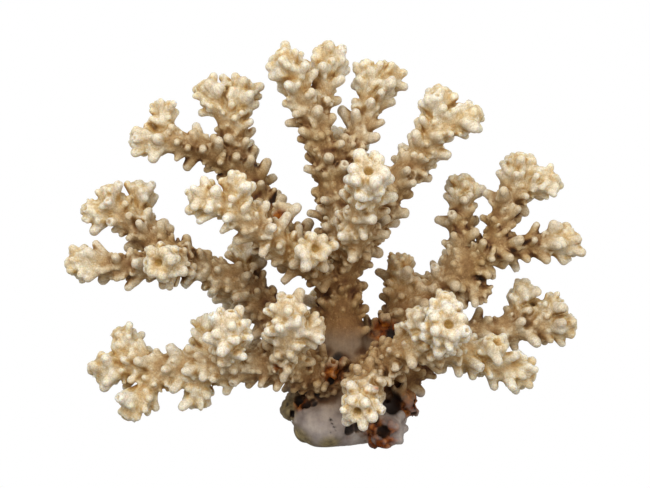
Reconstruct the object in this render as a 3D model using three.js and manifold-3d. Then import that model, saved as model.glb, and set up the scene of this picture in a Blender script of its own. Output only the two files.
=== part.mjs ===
// A dried branching coral: a bushy colony of round limbs that fork from one short stem on a holdfast.
// Small tubular cups, the corallites, stud every limb by turns and crowd into a crown at each tip.
// Millimetres, +Z up, front towards -Y. The origin is the middle of the flat cut under the holdfast.
import * as THREE from "three";
import { mergeVertices } from "three/addons/utils/BufferGeometryUtils.js";
import Module from "manifold-3d";

const wasm = await Module();
wasm.setup();

const FORK_GAP = 0.3; // width of the parting where a piece leaves the one that carries it
const STEM_SIDES = 8;
const STEM_RADIUS = 8; // a limb this thick at its root has the stem's number of sides
const LIMB_SIDES = 6;
const TWIG_SIDES = 5;
const TWIG_RADIUS = 4.45; // a limb this thin at its root has a twig's number of sides
const RING_STEP = 8; // distance between rings of facets along a limb
const RING_TWIST = 0.22; // turn from ring to ring, as a share of one facet
const RING_SWELL = 1.05; // how far a ring's corners stand out past its radius, to keep its girth
const CURVE_TENSION = 0.5;
const SIDE_CUE = new THREE.Vector3(0, -1, 0.35); // with a limb's way, it settles where its facets start
const CUP_LENGTH = 4.8;
const CUP_SPREAD = 0.28; // how far a cup's length strays, as a share
const CUP_LEAN = 0.55; // how far a cup leans from square to its limb towards the limb's tip
const LEAN_SPREAD = 0.25; // how far that strays, as a share
const CUP_INSET = 0.52; // how far a cup's mouth has drawn in from its foot
const YOUNG_LENGTH = 3; // a young cup is a low cone
const YOUNG_SHARE = 0.68;
const CROWN_LENGTH = 4.9;
const CROWN_LEAN = 1.1;
const BARE_PAST_CUT = 3; // length past a parting with no cups
const CLEAR_OF_LIMB = 2.1; // a cup that would come nearer than this to another limb isn't there
const CLEAR_OF_CUP = 3.2;
const CUP_SPOTS = [0.1, 0.55, 1, 1.3]; // where that is looked at, as shares of a cup's length
const LENGTH_SEED = 0; // each of a cup's chances has a seed of its own
const YOUTH_SEED = 0.25;
const LEAN_SEED = 0.5;
const TIP_END = { length: 3.8, mouthShare: 0.64, pit: 1.2 }; // the cup on a limb's own axis
const BLUNT_END = { length: 1.7, mouthShare: 0.62, pit: 0 };
const ROOT_END = { length: 0, mouthShare: 1, pit: 0 };

// Each limb belongs to a piece: its axis runs through points of x, y, z and radius, root to tip. bare is
// the length at its root with no cups. The first limb of a piece grows from another piece, and is parted
// from it at cut.
const LIMBS = [
  {
    piece: "holdfast",
    bare: 99,
    blunt: true,
    axis: [[-3.5, 2, 9, 12], [-3.6, 3, 18, 11.2], [-2.6, 4, 29, 9.2], [-2.8, 4, 38, 8]],
  },
  {
    piece: "trunk",
    from: "holdfast",
    cut: 11,
    bare: 13,
    blunt: true,
    axis: [
      [-2.6, 4, 32, 8.4], [-3.5, 4, 45, 6.6], [-4.5, 4, 58, 6.8], [-3.4, 3, 68, 6.6], [-3, 3, 73, 5.6],
    ],
  },
  {
    piece: "crown_left_branch",
    from: "trunk",
    cut: 10,
    axis: [
      [-2.8, 3, 67, 6], [-4.5, 3, 81, 5.4], [-6.2, 4, 93, 4.8], [-9, 4, 104, 4.5], [-13.3, 3, 114, 4.3],
      [-17.8, 1, 124, 4.1], [-22.5, -1.5, 135, 3.9],
    ],
  },
  {
    piece: "crown_left_branch",
    bare: 3,
    axis: [[-12, 4, 112, 3.9], [-9.6, 8, 124, 3.9], [-8, 10.5, 136.5, 3.9]],
  },
  {
    piece: "crown_right_branch",
    from: "crown_left_branch",
    cut: 8,
    axis: [
      [-6, 5, 96, 4.2], [-1, 8.5, 102, 4.2], [3.2, 12, 109, 4.2], [7, 15, 118, 4.1], [14, 18, 129.5, 3.9],
    ],
  },
  {
    piece: "crown_right_branch",
    bare: 3,
    axis: [[8, 15.5, 119, 3.4], [6, 17.5, 131, 3.2]],
  },
  {
    piece: "front_crown_branch",
    from: "trunk",
    cut: 9.5,
    axis: [[-1, 0, 66, 5], [2, -9, 74, 5.2], [4, -15, 82, 4.9], [5.4, -21, 90, 4.6], [5.6, -30, 98, 4.4]],
  },
  {
    piece: "upper_right_branch",
    from: "trunk",
    cut: 10,
    axis: [
      [1, 2.5, 69, 4.8], [9.5, 3, 80, 4.8], [15.6, 3, 91, 4.6], [21.6, 2, 98.6, 4.4], [27, 1, 106, 4.4],
      [30.3, 0, 114, 4.3], [31.2, 0, 121.5, 4.2],
    ],
  },
  {
    piece: "upper_right_branch",
    bare: 3,
    axis: [[29, -1, 109, 3.5], [36, -3, 113, 3.4], [42, -4, 116, 3.4]],
  },
  {
    piece: "upper_left_branch",
    from: "trunk",
    cut: 12,
    axis: [
      [-6, 5, 60, 5.2], [-17.5, 10, 67.5, 5.2], [-25.5, 12, 75, 4.9], [-31.5, 14, 83.5, 4.6],
      [-36, 14, 91.5, 4.6], [-40, 14, 99, 4.5], [-41.4, 14, 107, 4.2], [-40.6, 13.5, 115, 4],
      [-37.9, 14, 124.5, 3.7],
    ],
  },
  {
    piece: "upper_left_branch",
    bare: 3,
    axis: [[-41, 14, 110, 3.7], [-46, 12.5, 118, 3.6], [-50.5, 12, 124, 3.6]],
  },
  {
    piece: "left_side_branch",
    from: "upper_left_branch",
    cut: 11,
    axis: [
      [-39, 14, 95, 4.2], [-44, 12, 99.5, 4.2], [-51, 9, 103, 4], [-59, 6, 106, 3.8], [-73, 2.5, 107, 3.6],
    ],
  },
  {
    piece: "left_side_branch",
    bare: 3,
    axis: [[-61, 5, 106, 3.2], [-64.5, 6, 112, 3], [-66, 6, 117.5, 3.2]],
  },
  {
    piece: "inner_left_branch",
    from: "trunk",
    cut: 10,
    axis: [
      [-6, 0, 60, 4.8], [-12, -4, 63, 4.8], [-19.5, -8, 68, 4.9], [-27, -14, 74.5, 4.7], [-34, -19, 81, 4.5],
      [-41, -22, 86, 4], [-50.5, -24, 90, 3.8],
    ],
  },
  {
    piece: "inner_left_branch",
    bare: 3,
    axis: [[-37.5, -20, 83, 3.4], [-38.5, -22, 90.5, 3.2], [-39, -22, 95.5, 3.3]],
  },
  {
    piece: "inner_left_branch",
    bare: 3,
    axis: [[-17, -7, 66, 3.8], [-14.6, -14, 69, 3.8], [-12.6, -21, 72, 3.6]],
  },
  {
    piece: "inner_left_branch",
    bare: 9,
    blunt: true,
    axis: [[-25, -11, 73, 3], [-24, -6.5, 79, 2.8], [-23.4, -5, 82.5, 2.6]],
  },
  {
    piece: "left_stem",
    from: "holdfast",
    cut: 13,
    bare: 16,
    blunt: true,
    axis: [
      [-4, 5, 26, 7], [-17.5, 10, 34, 6.4], [-26, 12, 41, 5.8], [-32, 12, 49, 5.4], [-38, 10, 55.5, 5.2],
      [-45, 8, 57.5, 4.8],
    ],
  },
  {
    piece: "left_stem",
    bare: 3,
    axis: [[-36, 12, 54, 3.8], [-37.5, 14, 63, 3.4], [-37.6, 14, 69, 3.2]],
  },
  {
    piece: "left_upper_branch",
    from: "left_stem",
    cut: 9,
    axis: [
      [-43, 8.5, 57, 4.6], [-51, 6, 60.8, 4.5], [-60, 4.5, 65.5, 4.4], [-66, 4.5, 69, 4.1], [-72, 5, 73.5, 4],
      [-77, 6, 77.6, 3.7], [-83, 6, 81, 3.6], [-90.5, 6, 82, 3.5],
    ],
  },
  {
    piece: "left_upper_branch",
    bare: 3,
    axis: [[-79, 6, 79, 3.3], [-83.6, 6, 84.5, 3.2], [-85, 6, 88, 3.2]],
  },
  {
    piece: "left_upper_branch",
    bare: 3,
    axis: [[-69, 5, 71, 3.3], [-72.5, 9, 77.5, 3], [-74.2, 10, 83, 3], [-74.6, 10, 88.5, 3.2]],
  },
  {
    piece: "left_upper_branch",
    bare: 7,
    axis: [[-60, 3, 65, 3.8], [-61, -8, 65.5, 3.7], [-64.5, -18.5, 67.2, 3.7]],
  },
  {
    piece: "left_lower_branch",
    from: "left_upper_branch",
    cut: 12,
    axis: [
      [-58, 3, 64, 3.9], [-66.5, -3, 63, 3.9], [-74.3, -5, 64, 3.7], [-82.3, -6, 64.5, 3.6],
      [-94.5, -6, 65, 3.7],
    ],
  },
  {
    piece: "low_left_branch",
    from: "holdfast",
    cut: 15,
    axis: [
      [-1, 1, 22, 6.5], [-13.3, -9, 27.2, 6.2], [-22.7, -14, 31.2, 5.6], [-32, -16, 31.4, 5.1],
      [-42, -16, 30, 4.8], [-52.5, -14, 29.6, 4.5], [-63, -12, 29.3, 4.4], [-73, -10, 29, 4.2],
      [-86, -10, 28.7, 3.9],
    ],
  },
  {
    piece: "low_left_branch",
    bare: 3,
    axis: [[-73, -10, 30, 3.4], [-77, -7, 35, 3.2], [-79.8, -6, 39, 3.2]],
  },
  {
    piece: "low_left_branch",
    bare: 3,
    axis: [[-64, -12, 28, 3.7], [-70, -15, 22.5, 3.6], [-75, -18, 16.5, 3.6]],
  },
  {
    piece: "low_left_branch",
    bare: 3,
    axis: [[-53, -14, 28, 3.2], [-52.7, -13.4, 18.5, 3.1]],
  },
  {
    piece: "low_left_branch",
    bare: 3,
    axis: [[-48, -13, 31, 3.2], [-50.3, -7, 38, 3], [-51, -4, 43, 2.9]],
  },
  {
    piece: "low_left_front_twig",
    from: "low_left_branch",
    cut: 8,
    axis: [[-41.5, -17, 30, 4.4], [-41.5, -24, 37, 4.3], [-41.2, -28, 42, 4.2], [-40.6, -30, 48, 4.2]],
  },
  {
    piece: "low_left_inner_twig",
    from: "low_left_branch",
    cut: 10,
    axis: [[-21.3, -15, 30.5, 4.5], [-21.7, -22, 38.5, 4.3], [-21.5, -26, 46, 4.1], [-20.9, -28, 53, 4.1]],
  },
  {
    piece: "low_left_inner_twig",
    bare: 3,
    axis: [[-21.5, -24.5, 43, 3.3], [-16, -25.5, 44.4, 3.2], [-12, -26, 46, 3.1]],
  },
  {
    piece: "front_low_branch",
    from: "holdfast",
    cut: 13,
    axis: [[2, -4, 22, 5.4], [5, -14, 25.5, 5.2], [5, -22, 24, 4.8], [2.6, -35, 20.6, 4.3]],
  },
  {
    piece: "low_right_branch",
    from: "holdfast",
    cut: 17,
    axis: [
      [2, 0, 22, 6.5], [11, -8, 29, 6], [16, -13, 33.6, 5.6], [22, -17, 37.6, 5.2], [30, -18, 38, 5],
      [39.2, -15, 34.8, 4.5], [48, -12, 31, 4.3], [60, -9.5, 27, 4],
    ],
  },
  {
    piece: "low_right_branch",
    bare: 3,
    axis: [[24, -18, 38, 3], [23.6, -22.5, 44.5, 2.8], [22.9, -24, 49.5, 2.8]],
  },
  {
    piece: "low_right_branch",
    bare: 3,
    axis: [[45, -13, 32, 3], [49, -17, 38, 2.8]],
  },
  {
    piece: "low_right_front_twig",
    from: "low_right_branch",
    cut: 8,
    axis: [[29.5, -18, 37.5, 4.6], [31, -26, 42.5, 4.5], [32, -35, 48, 4.3]],
  },
  {
    piece: "low_right_front_twig",
    bare: 3,
    axis: [[31, -27, 44, 3.3], [31.5, -27.5, 55, 3.2]],
  },
  {
    piece: "low_right_rear_branch",
    from: "holdfast",
    cut: 16.5,
    axis: [
      [3, 3, 15, 6], [16, 7.5, 20, 5.6], [27, 11, 27.5, 5], [38, 12, 35, 4.6], [48, 12, 37.6, 4.3],
      [57, 12, 38, 4.2], [66, 12, 39.2, 4], [77, 12, 40, 3.9],
    ],
  },
  {
    piece: "low_right_rear_branch",
    bare: 3,
    axis: [[56.5, 12, 39, 3.3], [60.8, 14, 46, 3], [62.5, 14, 52.5, 3.1]],
  },
  {
    piece: "low_right_rear_branch",
    bare: 3,
    axis: [[67, 12, 40, 3], [73, 13, 48, 2.8]],
  },
  {
    piece: "right_stem",
    from: "holdfast",
    cut: 13.5,
    bare: 17,
    blunt: true,
    axis: [
      [2, 6, 25, 7.4], [14.7, 10, 37.4, 6.4], [22, 11, 44.6, 5.9], [30, 11, 50.8, 5.4], [37, 10, 57, 5],
      [41, 9.3, 61, 4.6],
    ],
  },
  {
    piece: "right_stem",
    bare: 4,
    blunt: true,
    axis: [[18, 11, 42, 5], [18.4, 13, 51, 4.6], [17.9, 13, 61, 4.3]],
  },
  {
    piece: "right_stem",
    bare: 3,
    blunt: true,
    axis: [[38, 9, 57, 3.8], [46, 7.5, 52.5, 3.4]],
  },
  {
    piece: "right_inner_branch",
    from: "right_stem",
    cut: 9,
    axis: [[38, 10, 59, 4.2], [39.5, 12.5, 69, 4], [39.4, 15, 78, 3.8], [40.8, 15, 90, 3.6]],
  },
  {
    piece: "right_outer_branch",
    from: "right_stem",
    cut: 7.5,
    axis: [
      [41, 9.3, 61, 4.4], [50.7, 8, 67.5, 4.4], [58, 8, 68.6, 4.2], [66, 8, 69.4, 4.2], [77, 8, 71, 4.2],
    ],
  },
  {
    piece: "right_upper_branch",
    from: "right_outer_branch",
    cut: 8,
    axis: [
      [51.5, 8.3, 68, 4], [53.2, 10.5, 76, 4], [55.6, 12, 84, 3.9], [57.8, 12, 90, 3.8], [60, 12, 98, 3.8],
    ],
  },
  {
    piece: "right_upper_branch",
    bare: 3,
    axis: [[57, 12, 86, 3.4], [63.5, 10.5, 89.4, 3.3], [70.5, 9, 92, 3.3]],
  },
  {
    piece: "back_middle_branch",
    from: "trunk",
    cut: 10,
    axis: [
      [-4, 5, 50, 4.8], [-3.4, 17, 56, 4.8], [-3, 30, 61, 4.5], [-2.6, 42, 65, 4.2], [-2.6, 52, 69, 4],
    ],
  },
  {
    piece: "back_low_branch",
    from: "holdfast",
    cut: 14,
    axis: [
      [-3, 5, 24, 5.8], [-5, 18, 31, 5.4], [-6.6, 31, 36, 4.9], [-7.6, 43, 40, 4.4], [-8.4, 53, 43, 4.2],
    ],
  },
  {
    piece: "back_low_left_branch",
    from: "holdfast",
    cut: 19,
    axis: [
      [-3, 4, 18, 5.8], [-16, 15, 20, 5.4], [-28, 29, 24.5, 5], [-39, 41, 24.5, 4.5], [-47, 50, 25.5, 4.2],
    ],
  },
  {
    piece: "back_low_right_branch",
    from: "holdfast",
    cut: 17,
    axis: [[0, 5, 14, 5.8], [9, 20, 18, 5.3], [20, 31, 22, 4.8], [31, 40, 24.5, 4.3], [40, 46, 26.5, 4.1]],
  },
  {
    piece: "back_right_branch",
    from: "right_stem",
    cut: 11,
    axis: [[23, 11, 45.5, 4.7], [31, 22, 52, 4.5], [38, 33, 56.5, 4.3], [44, 45, 60.5, 4.1]],
  },
  {
    piece: "back_left_branch",
    from: "left_stem",
    cut: 10.5,
    axis: [[-27, 12, 41.5, 4.8], [-33, 23, 45.5, 4.6], [-40, 35, 47, 4.3], [-45.5, 46.5, 48.5, 4.1]],
  },
  {
    piece: "back_crown_branch",
    from: "crown_left_branch",
    cut: 9.5,
    axis: [[-6, 4, 88, 4.4], [-3, 16, 94.5, 4.3], [-1, 28, 99.5, 4.1], [0, 41, 104, 4]],
  },
  {
    piece: "back_upper_left_branch",
    from: "upper_left_branch",
    cut: 9,
    axis: [[-34.5, 14, 88, 4.2], [-37.5, 25, 93.5, 4.1], [-40, 35, 97, 4], [-41.5, 44.5, 99.5, 3.9]],
  },
  {
    piece: "back_upper_right_branch",
    from: "upper_right_branch",
    cut: 8,
    axis: [[17.5, 3, 93.5, 4], [22, 14, 98, 3.9], [27.5, 28, 101, 3.8]],
  },
];

// The holdfast's lumps: centre and half-axes.
const LUMPS = [
  { at: [-9, -4, 8.5], half: [10.5, 10.5, 9.5] },
  { at: [12, -4, 7], half: [7.5, 8.5, 8] },
  { at: [0, 5.5, 6], half: [14, 13, 9.5] },
  { at: [-19.5, 0, 13], half: [4.4, 5, 5.4] },
  { at: [19.5, 0, 14.5], half: [4.8, 5, 5] },
];
const LUMP_DETAIL = 1;
const LUMP_UNEVEN = 0.08;
const WELD_GAP = 1e-3; // corners of a lump nearer than this, at a half-axis of 1, are one corner

const HOLDFAST_STONE = { color: 0x9a8f86, roughness: 0.8, metalness: 0 };
const LIMB_STONE = { color: 0xd2bd9c, roughness: 0.85, metalness: 0 };

// The same number between 0 and 1 for the same seeds.
function chance(a, b = 0, c = 0) {
  const wave = Math.sin(a * 12.9898 + b * 78.233 + c * 37.719) * 43758.5453;
  return wave - Math.floor(wave);
}

// A factor that strays from 1 by up to a share of spread.
function stray(spread, ...seeds) {
  return 1 + spread * (2 * chance(...seeds) - 1);
}

// The rings of a limb, root to tip: centre, radius, reach from the root, and a frame that doesn't spin.
function ringsOf(limb) {
  const points = limb.axis.map(([x, y, z]) => new THREE.Vector3(x, y, z));
  const curve = new THREE.CatmullRomCurve3(points, false, "catmullrom", CURVE_TENSION);
  const length = curve.getLength();
  const count = Math.max(2, Math.round(length / RING_STEP));
  const side = SIDE_CUE.clone().cross(curve.getTangentAt(0));
  return Array.from({ length: count + 1 }, (_, i) => {
    const tangent = curve.getTangentAt(i / count);
    side.addScaledVector(tangent, -side.dot(tangent)).normalize();
    const along = curve.getUtoTmapping(i / count) * (limb.axis.length - 1);
    const before = Math.min(Math.floor(along), limb.axis.length - 2);
    return {
      centre: curve.getPointAt(i / count),
      tangent,
      side: side.clone(),
      up: tangent.clone().cross(side),
      radius: THREE.MathUtils.lerp(limb.axis[before][3], limb.axis[before + 1][3], along - before),
      reach: (i / count) * length,
    };
  });
}

// A corner of ring i, on the limb's skin.
function cornerOf(ring, i, j, sides) {
  const angle = ((j + i * RING_TWIST) / sides) * 2 * Math.PI;
  const outward = ring.side.clone().multiplyScalar(Math.cos(angle)).addScaledVector(ring.up, Math.sin(angle));
  return ring.centre.clone().addScaledVector(outward, ring.radius * RING_SWELL);
}

function sidesFor(rootRadius) {
  if (rootRadius >= STEM_RADIUS) return STEM_SIDES;
  return rootRadius > TWIG_RADIUS ? LIMB_SIDES : TWIG_SIDES;
}

const limbs = LIMBS.map((limb, number) => ({
  bare: (limb.cut ?? 0) + BARE_PAST_CUT,
  ...limb,
  number,
  rings: ringsOf(limb),
  sides: sidesFor(limb.axis[0][3]),
}));

// How far a point is from a limb's skin.
function distanceTo(limb, point) {
  const near = new THREE.Vector3();
  const stretch = new THREE.Line3();
  let distance = Infinity;
  for (let i = 0; i + 1 < limb.rings.length; i++) {
    stretch.set(limb.rings[i].centre, limb.rings[i + 1].centre).closestPointToPoint(point, true, near);
    distance = Math.min(distance, near.distanceTo(point) - limb.rings[i].radius);
  }
  return distance;
}

const cupsSoFar = [];

// Whether a cup from foot to tip keeps clear of the other limbs and of their cups.
function isClear(foot, tip, own) {
  const spots = CUP_SPOTS.map((share) => foot.clone().lerp(tip, share));
  const offLimbs = limbs.every(
    (limb) => limb === own || spots.every((spot) => distanceTo(limb, spot) > CLEAR_OF_LIMB),
  );
  const offCups = cupsSoFar.every(
    (cup) =>
      cup.own === own ||
      spots.every((spot) => cup.spots.every((other) => other.distanceTo(spot) > CLEAR_OF_CUP)),
  );
  if (offLimbs && offCups) cupsSoFar.push({ own, spots });
  return offLimbs && offCups;
}

// The way and distance that the cup on facet (i, j) grows, or null where there is none.
function cupOf(limb, i, j, foot) {
  const { rings } = limb;
  const inCrown = i === rings.length - 2 && !limb.blunt;
  if ((i + j) % 2 || (rings[i].reach + rings[i + 1].reach) / 2 < limb.bare) return null;
  const axis = rings[i].centre.clone().lerp(rings[i + 1].centre, 0.5);
  const lean = (inCrown ? CROWN_LEAN : CUP_LEAN) * stray(LEAN_SPREAD, limb.number, i, j + LEAN_SEED);
  const grows = foot.clone().sub(axis).normalize().addScaledVector(rings[i].tangent, lean).normalize();
  const isYoung = !inCrown && chance(limb.number, i, j + YOUTH_SEED) < YOUNG_SHARE;
  grows.multiplyScalar(inCrown ? CROWN_LENGTH : isYoung ? YOUNG_LENGTH : CUP_LENGTH);
  grows.multiplyScalar(stray(CUP_SPREAD, limb.number, i, j + LENGTH_SEED));
  return isClear(foot, foot.clone().add(grows), limb) ? { grows, isYoung } : null;
}

// A closed mesh as a manifold-3d solid.
function solidFrom(positions, triangles) {
  return new wasm.Manifold(
    new wasm.Mesh({
      numProp: 3,
      vertProperties: new Float32Array(positions.flatMap((p) => [p.x, p.y, p.z])),
      triVerts: new Uint32Array(triangles.flat()),
    }),
  );
}

// Closes a limb's end with a short tube on its axis, mouthShare as wide as its rim and sunk in by pit.
function closeEnd(skin, ring, rim, { length, mouthShare, pit }) {
  const centre = ring.centre.clone().addScaledVector(ring.tangent, length);
  let edge = rim;
  if (mouthShare < 1) {
    edge = rim.map((corner) => skin.add(skin.positions[corner].clone().sub(ring.centre)
      .multiplyScalar(mouthShare).add(centre)));
    rim.forEach((corner, k) => {
      const next = (k + 1) % rim.length;
      skin.triangles.push([corner, rim[next], edge[next]], [corner, edge[next], edge[k]]);
    });
  }
  const floor = skin.add(centre.addScaledVector(ring.tangent, -pit));
  edge.forEach((corner, k) => skin.triangles.push([corner, edge[(k + 1) % edge.length], floor]));
}

// A limb as one closed skin of facets, with a cup drawn out of every other facet.
function limbSolid(limb) {
  const { rings, sides } = limb;
  const positions = [];
  const triangles = [];
  const add = (point) => positions.push(point) - 1;
  const skin = { positions, triangles, add };
  const corners = rings.map((ring, i) =>
    Array.from({ length: sides }, (_, j) => add(cornerOf(ring, i, j, sides))),
  );
  for (let i = 0; i + 1 < rings.length; i++)
    for (let j = 0; j < sides; j++) {
      const next = (j + 1) % sides;
      const foot = [corners[i][j], corners[i][next], corners[i + 1][next], corners[i + 1][j]];
      const middle = new THREE.Vector3();
      foot.forEach((corner) => middle.addScaledVector(positions[corner], 1 / foot.length));
      const cup = cupOf(limb, i, j, middle);
      if (!cup) {
        triangles.push([foot[0], foot[1], foot[2]], [foot[0], foot[2], foot[3]]);
      } else if (cup.isYoung) {
        const tip = add(middle.clone().add(cup.grows));
        foot.forEach((corner, k) => triangles.push([corner, foot[(k + 1) % 4], tip]));
      } else {
        const mouth = foot.map((corner) =>
          add(positions[corner].clone().lerp(middle, CUP_INSET).add(cup.grows)),
        );
        foot.forEach((corner, k) => {
          const after = (k + 1) % 4;
          triangles.push([corner, foot[after], mouth[after]], [corner, mouth[after], mouth[k]]);
        });
        triangles.push([mouth[0], mouth[1], mouth[2]], [mouth[0], mouth[2], mouth[3]]);
      }
    }
  closeEnd(skin, rings[0], corners[0].slice().reverse(), ROOT_END);
  closeEnd(skin, rings.at(-1), corners.at(-1), limb.blunt ? BLUNT_END : TIP_END);
  return solidFrom(positions, triangles);
}

function lumpSolid({ at, half }, number) {
  const ball = new THREE.IcosahedronGeometry(1, LUMP_DETAIL);
  ball.deleteAttribute("normal");
  ball.deleteAttribute("uv");
  const { attributes, index } = mergeVertices(ball, WELD_GAP);
  const positions = Array.from({ length: attributes.position.count }, (_, i) =>
    new THREE.Vector3()
      .fromBufferAttribute(attributes.position, i)
      .multiplyScalar(stray(LUMP_UNEVEN, number, i))
      .multiply(new THREE.Vector3(...half))
      .add(new THREE.Vector3(...at)),
  );
  return solidFrom(positions, Array.from(index.array));
}

// The two sides of the parting of a limb: what stays on the carrier, and what is the new piece's.
function partLimb(limb) {
  const { rings, cut } = limb;
  const solid = limbSolid(limb);
  const after = rings.findIndex((ring) => ring.reach > cut);
  const [low, high] = [rings[after - 1], rings[after]];
  const centre = low.centre.clone().lerp(high.centre, (cut - low.reach) / (high.reach - low.reach));
  const way = high.centre.clone().sub(low.centre).normalize();
  const offset = way.dot(centre);
  return {
    stub: solid.trimByPlane(way.clone().negate().toArray(), FORK_GAP / 2 - offset),
    rest: solid.trimByPlane(way.toArray(), offset + FORK_GAP / 2),
  };
}

function geometryOf(solid) {
  const { vertProperties, triVerts, numProp } = solid.getMesh();
  const positions = new Float32Array((vertProperties.length / numProp) * 3);
  for (let i = 0; i < positions.length / 3; i++)
    positions.set(vertProperties.subarray(i * numProp, i * numProp + 3), i * 3);
  const geometry = new THREE.BufferGeometry();
  geometry.setAttribute("position", new THREE.BufferAttribute(positions, 3));
  geometry.setIndex(new THREE.BufferAttribute(triVerts, 1));
  geometry.computeVertexNormals();
  return geometry;
}

// The bodies that make up each piece: its own limbs, and the roots of the pieces that it carries.
const bodies = new Map([["holdfast", LUMPS.map(lumpSolid)]]);
for (const limb of limbs) {
  if (!bodies.has(limb.piece)) bodies.set(limb.piece, []);
  if (limb.from) {
    const { stub, rest } = partLimb(limb);
    bodies.get(limb.from).push(stub);
    bodies.get(limb.piece).push(rest);
  } else {
    bodies.get(limb.piece).push(limbSolid(limb));
  }
}

const coral = new THREE.Group();
coral.name = "branching_coral";
for (const [name, grown] of bodies) {
  const whole = grown.reduce((sum, body) => sum.add(body)).trimByPlane([0, 0, 1], 0);
  const stone = name === "holdfast" ? HOLDFAST_STONE : LIMB_STONE;
  const mesh = new THREE.Mesh(geometryOf(whole), new THREE.MeshStandardMaterial(stone));
  mesh.name = name;
  coral.add(mesh);
}

export default coral;
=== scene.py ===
# A dried branching coral. Each piece of the frame is grown again as one fine skin, with its cups and grain.
import math
from dataclasses import dataclass

import bpy
import numpy as np
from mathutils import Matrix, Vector


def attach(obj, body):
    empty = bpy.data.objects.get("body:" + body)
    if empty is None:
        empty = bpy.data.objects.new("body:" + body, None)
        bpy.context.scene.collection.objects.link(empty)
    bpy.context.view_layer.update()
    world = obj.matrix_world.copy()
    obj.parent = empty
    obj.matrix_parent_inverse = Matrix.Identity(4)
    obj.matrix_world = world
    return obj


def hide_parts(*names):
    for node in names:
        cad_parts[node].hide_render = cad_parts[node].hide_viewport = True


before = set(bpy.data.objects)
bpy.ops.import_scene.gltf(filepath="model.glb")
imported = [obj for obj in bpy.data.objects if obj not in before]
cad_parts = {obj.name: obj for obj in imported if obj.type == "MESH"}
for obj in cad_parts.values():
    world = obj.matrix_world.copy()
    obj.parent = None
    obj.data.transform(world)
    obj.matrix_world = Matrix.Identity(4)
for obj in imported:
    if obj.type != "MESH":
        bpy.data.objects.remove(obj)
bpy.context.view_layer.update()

# Lengths are millimetres until a mesh is made.
METRE = 1000
FAR = 9.0  # the distance that stands for far away from the skin
SAMPLE_STEP = 1.6  # along a limb's axis

# The rings and sides of the CAD's limbs, so that the large cups stand where its cups do.
RING_STEP = 8
RING_TWIST = 0.22
STEM_SIDES, LIMB_SIDES, TWIG_SIDES = 8, 6, 5
STEM_RADIUS, TWIG_RADIUS = 8, 4.45
SIDE_CUE = (0, -1, 0.35)
BARE = 3  # a limb's root has no cups for this length

LAP = 5.0  # how far a limb's skin runs back inside what carries it
LAP_SINK = 0.4  # and how deep it lies there
STUB = 1.5  # how far the carrier's skin runs on past the cut
FORK_FILLET = 3.2


@dataclass(frozen=True)
class Limb:
    """One limb. Its axis runs through points of x, y, z and radius, and it has no cups for the length bare.
    The first limb of a piece grows from its carrier and parts from it at cut along its axis. A blunt limb
    has no cluster of cups at its end."""
    piece: str
    axis: tuple
    carrier: str = None
    cut: float = 0
    bare: float = BARE
    blunt: bool = False


@dataclass(frozen=True)
class Knob:
    """A rounded finger from foot to tip. hole is its mouth's radius, and fillet rounds its joint."""
    foot: np.ndarray
    tip: np.ndarray
    foot_radius: float
    tip_radius: float
    hole: float = 0
    fillet: float = 1.0


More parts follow.
